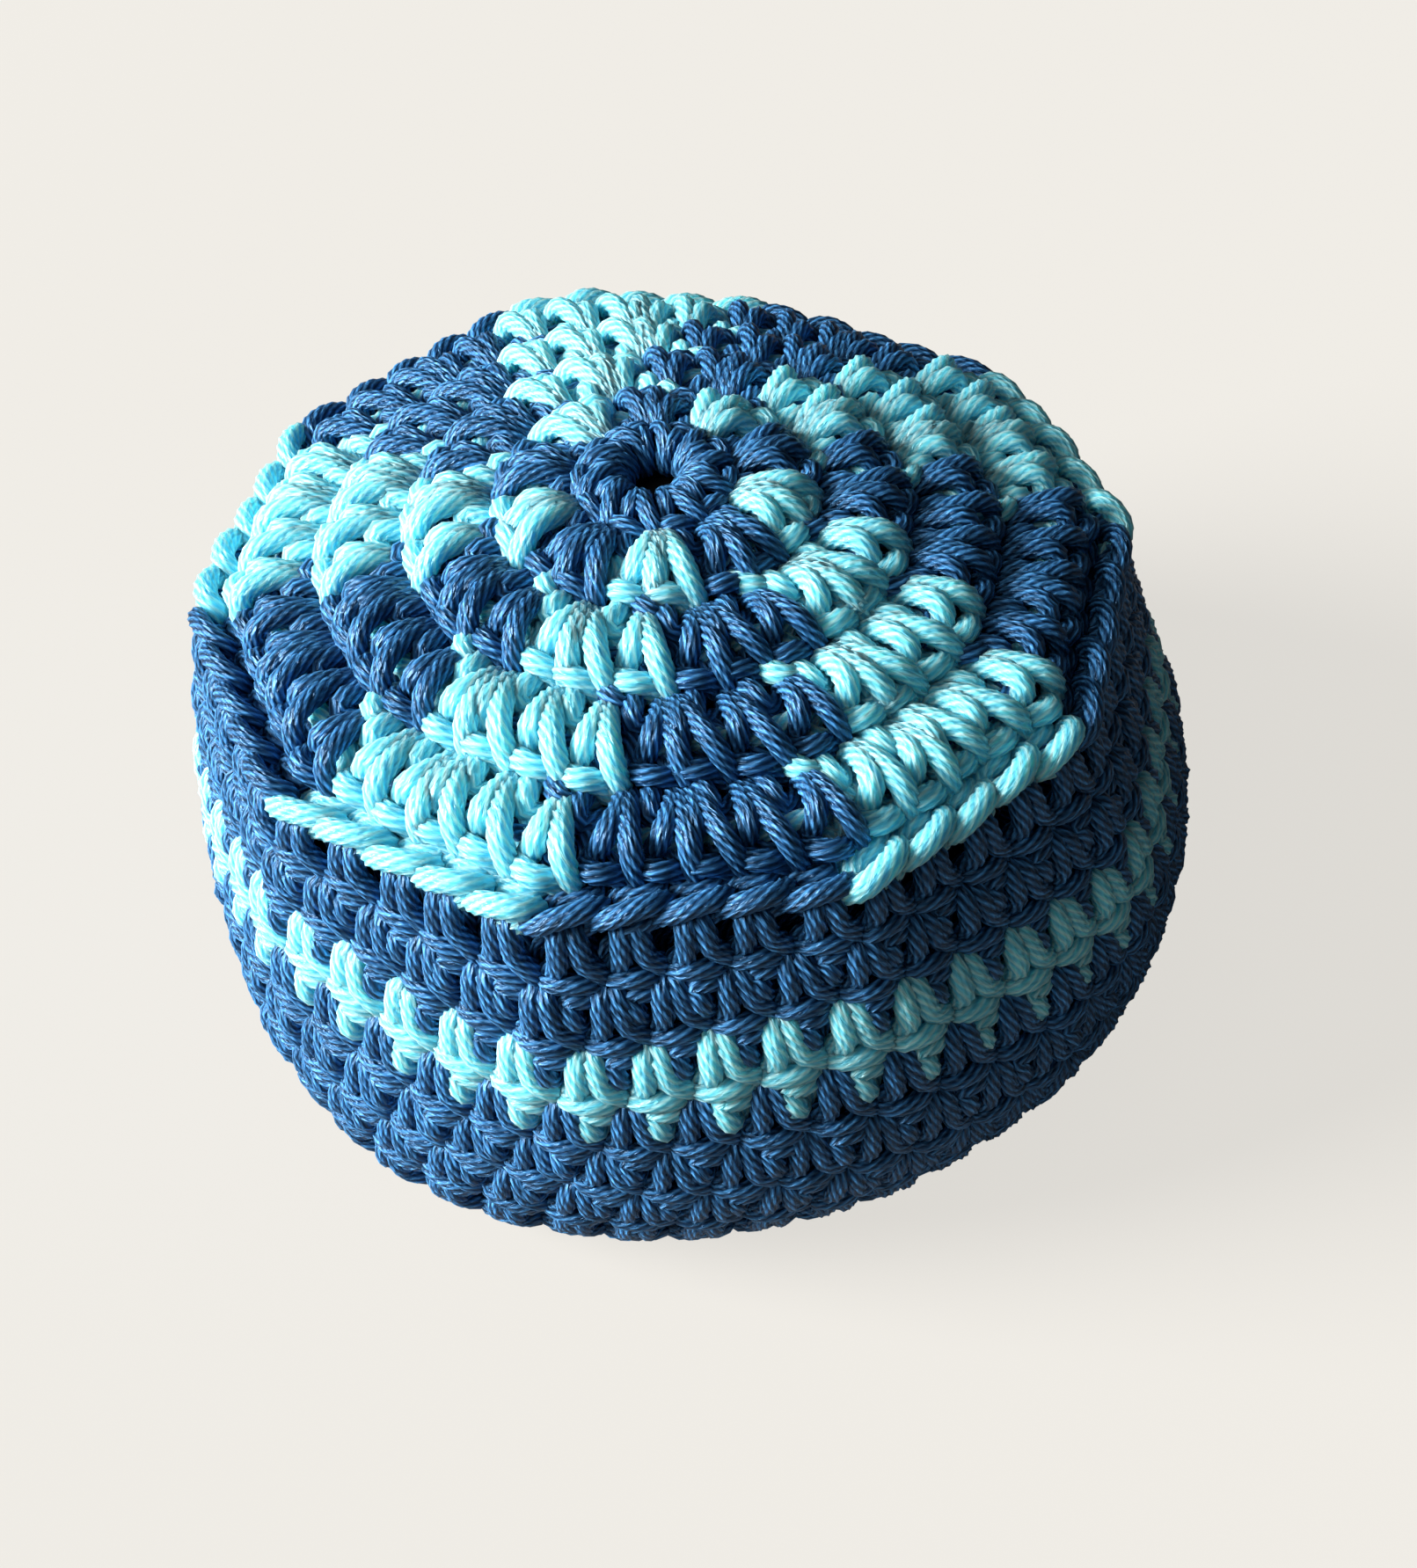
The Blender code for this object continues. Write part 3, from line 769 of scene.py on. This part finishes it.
def moulded_pellets():
    """Polypropylene, cut from an extruded strand and tumbled: satin, slightly clouded."""
    pale = bpy.context.scene.footbag_colours.pellet
    material = bpy.data.materials.new("Polypropylene, tumbled")
    node = emptied(material)
    body = node("ShaderNodeTexCoord").outputs["Object"]
    # Clouding changes from pellet to pellet, over about 4 mm.
    clouding = {"Vector": body, "Scale": 1.0 / (4.0 * MM), "Detail": 3.0}
    cloud = node("ShaderNodeTexNoise", clouding).outputs["Fac"]
    tones = {0: cloud, 6: opaque(pale, 0.78), 7: opaque(pale)}
    tone = node("ShaderNodeMix", tones, data_type="RGBA").outputs[2]
    look = {"Base Color": tone, "Roughness": 0.38, "IOR": 1.49}
    node("ShaderNodeOutputMaterial", {"Surface": node("ShaderNodeBsdfPrincipled", look)})
    return material


def paper_sweep():
    """Matt paper sweep: even and pale, so that only the bag's shadow marks it.

    The camera sees an even tone with a little of the shadow in it. The bag gets less light
    back than from real paper, so that its hollows stay dark.
    """
    pale = opaque(bpy.context.scene.footbag_colours.floor)
    material = bpy.data.materials.new("Matt paper, pale")
    node = emptied(material)
    lit = node("ShaderNodeBsdfDiffuse", {"Color": pale, "Roughness": 0.5})
    even = node("ShaderNodeEmission", {"Color": pale, "Strength": 0.93})
    dim = node("ShaderNodeBsdfDiffuse", {"Color": (0.2, 0.2, 0.2, 1.0)})
    seen = node("ShaderNodeLightPath").outputs["Is Camera Ray"]
    evenness = node("ShaderNodeMath", {0: seen, 1: 0.89}, operation="MULTIPLY")
    mixed = node("ShaderNodeMixShader", {0: evenness, 1: lit, 2: even})
    shown = node("ShaderNodeMixShader", {0: seen, 1: dim, 2: mixed})
    node("ShaderNodeOutputMaterial", {"Surface": shown})
    return material


def settle_piece(piece, slot, *nodes):
    """Tie a finished piece to the bag's body, and hide the solids that it stands for. Its slot is
    not used.
    """
    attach(piece, "root")
    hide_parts(*nodes)


class FOOTBAG_OT_make_crown(bpy.types.Operator):
    """Work the crown: a navy centre round, then four rounds in ten swirling wedges"""

    bl_idname = "footbag.make_crown"
    bl_label = "Crown"

    def execute(self, context):
        bag = context.scene.footbag_shape
        yarn = context.scene.footbag_yarn
        rounds = [crown_cells(bag, yarn, number) for number in range(1, CROWN_ROUNDS + 1)]
        first = [block[0] for block in rounds[0]]
        centre = worked(first, HALF_DOUBLE_LEGS, HALF_DOUBLE_HEAD)
        piece = yarn_piece("crown_centre_yarn", [centre], navy_cotton(), 0.85)
        settle_piece(piece, "navy_yarn", "top_centre_ring")
        for number in range(WEDGES):
            light = number % 2 == 0
            paths = []
            for blocks in rounds[1:]:
                at_rim = blocks is rounds[-1]
                head = RIM_HEAD if at_rim else HALF_DOUBLE_HEAD
                before = blocks[number - 1]
                path = carried(before)
                path += before[-1].points(head if at_rim else NEW_YARN_LOOP + head)
                path += worked(blocks[number], HALF_DOUBLE_LEGS, head, close_last=False)
                paths.append(path)
            material, slot, fullness = cover_yarn(light)
            tone = "light" if light else "navy"
            wedge = number // 2 + 1
            piece = yarn_piece(f"{tone}_wedge_yarn_{wedge}", paths, material, fullness)
            settle_piece(piece, slot, f"{tone}_wedge_{wedge}")
        return {"FINISHED"}


class FOOTBAG_OT_make_side(bpy.types.Operator):
    """Work the side: two navy rounds, the light stripe, and four navy rounds"""

    bl_idname = "footbag.make_side"
    bl_label = "Side"

    def execute(self, context):
        bag = context.scene.footbag_shape
        yarn = context.scene.footbag_yarn
        bands = (
            ("upper_band_yarn", (1, 2), False, "side_upper_band"),
            ("stripe_yarn", (3,), True, "side_stripe"),
            ("lower_band_yarn", (4, 5, 6, 7), False, "side_lower_band"),
        )
        for name, numbers, light, node in bands:
            material, slot, fullness = cover_yarn(light)
            legs = FILLED_LEGS if light else SINGLE_LEGS
            for place, number in enumerate(numbers, 1):
                path = worked(wall_cells(bag, yarn, number), legs, SINGLE_HEAD)
                piece = yarn_piece(f"{name}_{place}", [path], material, fullness)
                settle_piece(piece, slot, node)
        return {"FINISHED"}


class FOOTBAG_OT_make_bottom(bpy.types.Operator):
    """Work the underside: shrinking navy rounds, and the knot that closes them"""

    bl_idname = "footbag.make_bottom"
    bl_label = "Bottom"

    def execute(self, context):
        bag = context.scene.footbag_shape
        yarn = context.scene.footbag_yarn
        last = len(WALL_COUNTS)
        under = range(UNDERSIDE_FROM, last + 1)
        bands = [(f"bottom_yarn_{place}", [number]) for place, number in enumerate(under, 1)]
        bands.append(("seat_yarn", range(last + 1, last + len(SEAT_COUNTS) + 1)))
        for name, numbers in bands:
            rounds = [wall_cells(bag, yarn, number) for number in numbers]
            paths = [worked(cells, SINGLE_LEGS, SINGLE_HEAD) for cells in rounds]
            settle_piece(yarn_piece(name, paths, navy_cotton()), "navy_yarn", "bottom_panel")

        # The knot is a trefoil, which goes round twice while it dips three times.
        middle = Vector((bag.seat_shift[0], bag.seat_shift[1], 1.35 * MM))
        steps = 36
        loops = []
        for index in range(steps + 1):
            turn = math.tau * index / steps
            reach = (1.1 + 0.5 * math.cos(3.0 * turn)) * MM
            lift = 0.45 * math.sin(3.0 * turn) * MM
            spot = (reach * math.cos(2.0 * turn), reach * math.sin(2.0 * turn), lift)
            loops.append(middle + Vector(spot))
        knot = yarn_piece("closing_knot_yarn", [loops], navy_cotton(), 0.8)
        settle_piece(knot, "navy_yarn", "closing_knot")
        return {"FINISHED"}


class FOOTBAG_OT_make_pouch(bpy.types.Operator):
    """Sew the pouch that holds the pellets, draw its neck in and tie it"""

    bl_idname = "footbag.make_pouch"
    bl_label = "Pouch"

    def execute(self, context):
        bag = context.scene.footbag_shape
        depth = bag.cover + 0.3 * MM
        rings = self.profile(bag, depth)

        # Fifteen uneven folds deepen towards the neck, and five shallow creases wind down.
        columns = 120
        gathered_over = 22
        grid = bmesh.new()
        uv = grid.loops.layers.uv.new("cloth")
        rows = []
        for row, (radius, height, place) in enumerate(rings):
            gather = max(0.0, (row - len(rings) + gathered_over + 1) / gathered_over)
            ring = []
            for column in range(columns):
                angle = math.tau * column / columns
                fold = 0.5 + 0.5 * math.cos(15.0 * angle + 0.8 * math.sin(3.0 * angle))
                inward = 1.0 - 0.16 * gather * fold
                crease = 0.12 * MM * (1.0 + math.sin(5.0 * angle + 9.0 * place)) / 2
                # The pouch gives way where the cover falls in.
                reach = radius - crease + min(0.0, swelling(angle, place))
                ring.append(grid.verts.new(turned(bag, angle, reach * inward, height, place)))
            rows.append(ring)
        corners = ((0, 0), (1, 0), (1, 1), (0, 1))
        for row in range(len(rows) - 1):
            for column in range(columns):
                spots = [(row + down, column + along) for down, along in corners]
                face = grid.faces.new([rows[down][along % columns] for down, along in spots])
                for loop, (down, along) in zip(face.loops, spots):
                    loop[uv].uv = (along / columns, down / len(rows))
        grid.faces.new(rows[0])
        bmesh.ops.recalc_face_normals(grid, faces=grid.faces)
        mesh = bpy.data.meshes.new("pouch_cloth")
        grid.to_mesh(mesh)
        grid.free()
        mesh.shade_smooth()
        mesh.materials.append(nylon_knit())
        pouch = linked("pouch_cloth", mesh)
        wall = pouch.modifiers.new("wall", "SOLIDIFY")
        wall.thickness = 0.45 * MM
        wall.offset = -1.0
        settle_piece(pouch, "liner_cloth", "liner_pouch")

        # The cord goes round the neck a little over twice, and its tail hangs down.
        middle = Vector((bag.seat_shift[0], bag.seat_shift[1], depth + 4.3 * MM))
        around = bag.neck_radius + 0.8 * MM
        last = 44
        cord = []
        for index in range(last + 1):
            turn = math.tau * index / 20
            lift = (index / last - 0.5) * 1.1 * MM
            spot = (around * math.cos(turn), around * math.sin(turn), lift)
            cord.append(middle + Vector(spot))
        end = cord[-1]
        tail = ((0.9, 0.3, -0.3), (1.3, 0.9, -1.4), (1.2, 1.2, -2.4))
        cord += [end + Vector(step) * MM for step in tail]
        tie = yarn_piece("tie_cord_twist", [cord], tie_cotton(), 1.0, 0.95 * MM)
        settle_piece(tie, "tie_cord", "liner_tie")
        return {"FINISHED"}

    def profile(self, bag, depth):
        """Radius, height and place of the pouch's rings, from the crown to the hem."""
        places = [0.02 + 0.98 * index / 16 for index in range(17)]
        places += [section + index / 14 for section in (SIDE, UNDER) for index in range(1, 15)]
        rings = [outline(bag, place, depth) + (place,) for place in places]
        pocket = bag.pocket_radius
        rings.append(((bag.seat_radius + pocket) / 2, depth, SEAT))
        for index in range(8):
            turn = math.pi / 2 * index / 7
            radius = bag.neck_radius + (pocket - bag.neck_radius) * math.cos(turn)
            rings.append((radius, depth + bag.pocket_height * math.sin(turn), SEAT))
        for index in range(1, 7):
            share = index / 6
            flare = (bag.hem_radius - bag.neck_radius) * max(0.0, 2.0 * share - 1.0) ** 2
            height = depth + bag.pocket_height * (1.0 - share)
            rings.append((bag.neck_radius + flare, height, SEAT))
        return rings


class FOOTBAG_OT_make_pellets(bpy.types.Operator):
    """Pack the pouch with pellets"""

    bl_idname = "footbag.make_pellets"
    bl_label = "Pellets"

    def execute(self, context):
        bag = context.scene.footbag_shape
        across = bag.pellet_diameter
        tall = bag.pellet_height
        # The pouch takes up 1.4 mm between the cover and the heap.
        skin = bag.cover + 1.4 * MM + across / 2
        profile = [(outline(bag, SIDE + step / 40, skin), SIDE + step / 40) for step in range(81)]
        # Pellets lie as stacked balls do: 1.02 widths apart, in rows 0.866 of that apart, and
        # in layers of 0.83 heights, each in the hollows of the one below.
        apart = 1.02
        layer_height = 0.83 * tall
        span = range(-12, 13)
        pocket_reach = bag.pocket_radius + across
        pocket_top = skin + bag.pocket_height
        luck = random.Random(5)
        spots = []
        for layer in range(int((bag.rim_height + bag.crown_rise) / layer_height)):
            height = skin + layer * layer_height
            beside = min(profile, key=lambda item: abs(item[0][1] - height))
            reach = beside[0][0] * 0.985
            axis_x, axis_y = axis(bag, beside[1])
            for row in span:
                for column in span:
                    shifted = 0.5 * (row % 2) + 0.5 * (layer % 2)
                    x = (column + shifted) * across * apart
                    y = (row * 0.866 + 0.577 * (layer % 2)) * across * apart
                    radius = math.hypot(x, y)
                    roof = outline(bag, min(0.999, radius / bag.rim_radius), skin)[1]
                    in_pocket = radius < pocket_reach and height < pocket_top
                    if radius > reach or height > roof or in_pocket:
                        continue
                    spot = (x + axis_x, y + axis_y, height)
                    spots.append([value + luck.uniform(-0.12, 0.12) * MM for value in spot])
        mesh = bpy.data.meshes.new("pellet_places")
        mesh.from_pydata(spots, [], [])
        values = {"Diameter": across, "Height": tall, "Seed": 3, "Material": moulded_pellets()}
        heap = grown("pellet_heap", mesh, pellet_tree(), values)
        loose = [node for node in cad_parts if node.startswith("loose_pellet")]
        settle_piece(heap, "pellets", "pellet_fill", *loose)
        return {"FINISHED"}


class FOOTBAG_OT_set_stage(bpy.types.Operator):
    """Set the floor, the lights and the camera"""

    bl_idname = "footbag.set_stage"
    bl_label = "Stage"

    def execute(self, context):
        self.set_floor()
        self.set_lights(context.scene)
        self.set_camera(context.scene)
        context.scene.view_settings.view_transform = "Standard"
        return {"FINISHED"}

    def set_floor(self):
        """Lay a sheet of paper under the bag."""
        grid = bmesh.new()
        bmesh.ops.create_grid(grid, x_segments=1, y_segments=1, size=FLOOR_REACH)
        mesh = bpy.data.meshes.new("floor")
        grid.to_mesh(mesh)
        grid.free()
        mesh.materials.append(paper_sweep())
        linked("floor", mesh)

    def set_lights(self, scene):
        """Hang two round softboxes, and fill the world with even light behind a pale view."""
        stage = scene.footbag_stage
        lamps = (
            ("side_light", stage.key, (-0.84, -0.06, 0.44)),
            ("top_light", stage.top, (-0.42, -0.38, 0.76)),
        )
        for name, watts, spot in lamps:
            lamp = bpy.data.lights.new(name, "AREA")
            lamp.shape = "DISK"
            lamp.size = 0.5
            lamp.energy = watts
            lamp.color = (1.0, 0.985, 0.96)
            softbox = linked(name, lamp)
            spot = Vector(spot)
            facing = spot.to_track_quat("Z", "Y").to_matrix().to_4x4()
            softbox.matrix_world = Matrix.Translation(spot) @ facing

        world = bpy.data.worlds.new("sky")
        scene.world = world
        node = emptied(world)
        cool = opaque(linear("#F4F6FA"))
        fill = node("ShaderNodeBackground", {"Color": cool, "Strength": stage.sky})
        pale = opaque(scene.footbag_colours.floor)
        backdrop = node("ShaderNodeBackground", {"Color": pale, "Strength": 1.0})
        seen = node("ShaderNodeLightPath").outputs["Is Camera Ray"]
        shown = node("ShaderNodeMixShader", {0: seen, 1: fill, 2: backdrop})
        node("ShaderNodeOutputWorld", {"Surface": shown})

    def set_camera(self, scene):
        """Look at the bag from where the picture was taken."""
        stage = scene.footbag_stage
        camera = bpy.data.cameras.new("camera")
        camera.lens = stage.lens
        camera.sensor_width = 36.0
        camera.clip_start = 0.01
        eye = linked("camera", camera)
        cosine = math.cos(stage.azimuth)
        sine = math.sin(stage.azimuth)
        level = math.cos(stage.elevation)
        side = Vector((cosine, sine, 0.0))
        back = Vector((level * sine, -level * cosine, math.sin(stage.elevation)))
        upright = back.cross(side)
        across = math.cos(stage.roll) * side - math.sin(stage.roll) * upright
        up = math.sin(stage.roll) * side + math.cos(stage.roll) * upright
        turn = Matrix((across, up, back)).transposed().to_4x4()
        eye.matrix_world = Matrix.Translation(Vector(stage.target) + back * stage.distance) @ turn
        scene.camera = eye


class FOOTBAG_PT_panel(bpy.types.Panel):
    """Lists the steps of the work"""

    bl_label = "Footbag"
    bl_idname = "FOOTBAG_PT_panel"
    bl_space_type = "VIEW_3D"
    bl_region_type = "UI"
    bl_category = "Footbag"

    def draw(self, context):
        for operator in OPERATORS:
            self.layout.operator(operator.bl_idname)
        for group in GROUPS:
            values = getattr(context.scene, group)
            self.layout.label(text=group.replace("_", " ").capitalize())
            for name in values.bl_rna.properties.keys():
                if name not in ("rna_type", "name"):
                    self.layout.prop(values, name)


GROUPS = {
    "footbag_shape": FootbagShape,
    "footbag_yarn": FootbagYarn,
    "footbag_colours": FootbagColours,
    "footbag_stage": FootbagStage,
}
OPERATORS = (
    FOOTBAG_OT_set_stage,
    FOOTBAG_OT_make_crown,
    FOOTBAG_OT_make_side,
    FOOTBAG_OT_make_bottom,
    FOOTBAG_OT_make_pouch,
    FOOTBAG_OT_make_pellets,
)


def register():
    for group in GROUPS.values():
        bpy.utils.register_class(group)
    for operator in OPERATORS:
        bpy.utils.register_class(operator)
    bpy.utils.register_class(FOOTBAG_PT_panel)
    for name, group in GROUPS.items():
        setattr(bpy.types.Scene, name, PointerProperty(type=group))


def unregister():
    for name in GROUPS:
        delattr(bpy.types.Scene, name)
    bpy.utils.unregister_class(FOOTBAG_PT_panel)
    for operator in reversed(OPERATORS):
        bpy.utils.unregister_class(operator)
    for group in reversed(GROUPS.values()):
        bpy.utils.unregister_class(group)


def main():
    register()
    for operator in OPERATORS:
        category, name = operator.bl_idname.split(".")
        getattr(getattr(bpy.ops, category), name)()


if __name__ == "__main__":
    main()
